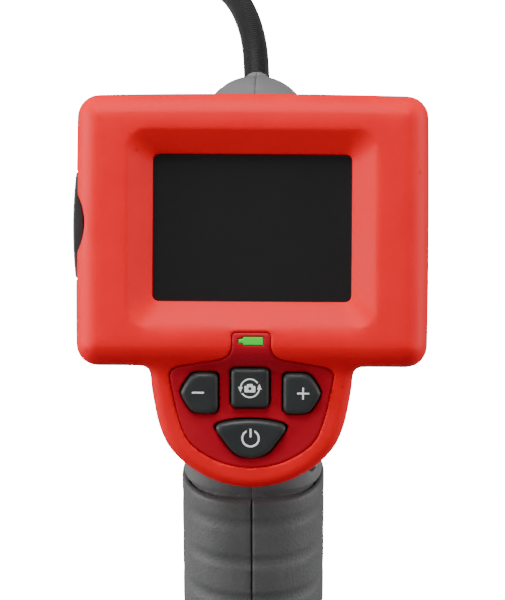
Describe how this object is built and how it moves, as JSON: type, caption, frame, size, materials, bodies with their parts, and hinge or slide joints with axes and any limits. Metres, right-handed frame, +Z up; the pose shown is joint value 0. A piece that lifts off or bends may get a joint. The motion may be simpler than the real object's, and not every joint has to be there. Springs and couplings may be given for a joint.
{
  "type": "inspection camera",
  "caption": "Handheld inspection camera: pistol grip, tilted display head with keypad, battery drawer in the foot, and a semi-rigid camera cable in a tied coil.",
  "frame": {"origin": "centre of the flat foot, on the surface that the camera stands on", "axes": "+Z up along the handle; the display faces -Y and tilts up by 22 degrees; +X is to the right of someone reading it; the cable leaves the nose towards +Y"},
  "size_m": [0.1562, 0.1931, 0.1978],
  "materials": {
    "red_shell": "satin moulded",
    "panel_red": "satin moulded",
    "key_rubber": "matte",
    "screen_glass": "gloss",
    "lens_green": "gloss",
    "grey_shell": "satin moulded",
    "grip_rubber": "matte",
    "black_plastic": "satin moulded",
    "seal_foam": "matte",
    "steel": "brushed",
    "brass_contact": "satin",
    "board": "satin",
    "clear_lens": "gloss",
    "sensor_glass": "gloss",
    "cable_sheath": "ribbed, matte",
    "strap": "woven",
    "cell_sleeve": "gloss"
  },
  "bodies": {
    "root": {"bezel": "red_shell", "button_panel": "panel_red", "screen_window": "screen_glass", "battery_indicator": "lens_green", "housing_left": "grey_shell", "housing_right": "grey_shell", "grip_left": "grip_rubber", "grip_right": "grip_rubber", "tv_out_jack": "black_plastic", "minus_switch": "black_plastic", "plus_switch": "black_plastic", "rotate_switch": "black_plastic", "power_switch": "black_plastic", "imager_housing": "black_plastic", "lcd_module": "black_plastic", "cable_core": "black_plastic", "window_gasket": "seal_foam", "lcd_frame": "steel", "imager_ferrule": "steel", "handle_screw_1": "steel", "handle_screw_2": "steel", "handle_screw_3": "steel", "bezel_screw_1": "steel", "bezel_screw_2": "steel", "bezel_screw_3": "steel", "bezel_screw_4": "steel", "bay_contact_1": "brass_contact", "bay_contact_2": "brass_contact", "cable_anchor": "brass_contact", "main_board": "board", "keypad_board": "board", "status_led": "clear_lens", "imager_window": "clear_lens", "imager_led_1": "clear_lens", "imager_led_2": "clear_lens", "imager_led_3": "clear_lens", "imager_led_4": "clear_lens", "imager_sensor": "sensor_glass", "cable": "cable_sheath", "cable_coil": "cable_sheath", "cable_tail": "cable_sheath", "cable_tie_1": "strap", "cable_tie_2": "strap"},
    "minus_button": {"minus_button": "key_rubber"},
    "plus_button": {"plus_button": "key_rubber"},
    "rotate_button": {"rotate_button": "key_rubber"},
    "power_button": {"power_button": "key_rubber"},
    "port_cover": {"port_cover": "key_rubber"},
    "battery_drawer": {"battery_cap": "black_plastic", "battery_tray": "black_plastic", "cap_seal": "seal_foam", "cell_1": "cell_sleeve", "cell_2": "cell_sleeve", "cell_3": "cell_sleeve", "cell_4": "cell_sleeve"},
    "latch_left": {"latch_left": "grey_shell"},
    "latch_right": {"latch_right": "grey_shell"}
  },
  "joints": [
    {"name": "minus_press", "type": "slide", "parent": "root", "child": "minus_button", "axis": [0, 0.9744, -0.225], "range_m": [0, 0.0008], "stiffness_N_per_m": 900},
    {"name": "plus_press", "type": "slide", "parent": "root", "child": "plus_button", "axis": [0, 0.9744, -0.225], "range_m": [0, 0.0008], "stiffness_N_per_m": 900},
    {"name": "rotate_press", "type": "slide", "parent": "root", "child": "rotate_button", "axis": [0, 0.9744, -0.225], "range_m": [0, 0.0008], "stiffness_N_per_m": 900},
    {"name": "power_press", "type": "slide", "parent": "root", "child": "power_button", "axis": [0, 0.9744, -0.225], "range_m": [0, 0.0008], "stiffness_N_per_m": 900},
    {"name": "port_cover_hinge", "type": "hinge", "parent": "root", "child": "port_cover", "pos_m": [-0.0449, 0.00237, 0.15873], "axis": [0, -0.3746, -0.9272], "range_deg": [0, 110], "stiffness_Nm_per_rad": 0.004},
    {"name": "battery_drawer_slide", "type": "slide", "parent": "root", "child": "battery_drawer", "axis": [0, 0, -1], "range_m": [0, 0.06]},
    {"name": "latch_left_squeeze", "type": "slide", "parent": "battery_drawer", "child": "latch_left", "axis": [1, 0, 0], "range_m": [0, 0.0015], "stiffness_N_per_m": 900},
    {"name": "latch_right_squeeze", "type": "slide", "parent": "battery_drawer", "child": "latch_right", "axis": [-1, 0, 0], "range_m": [0, 0.0015], "stiffness_N_per_m": 900}
  ]
}
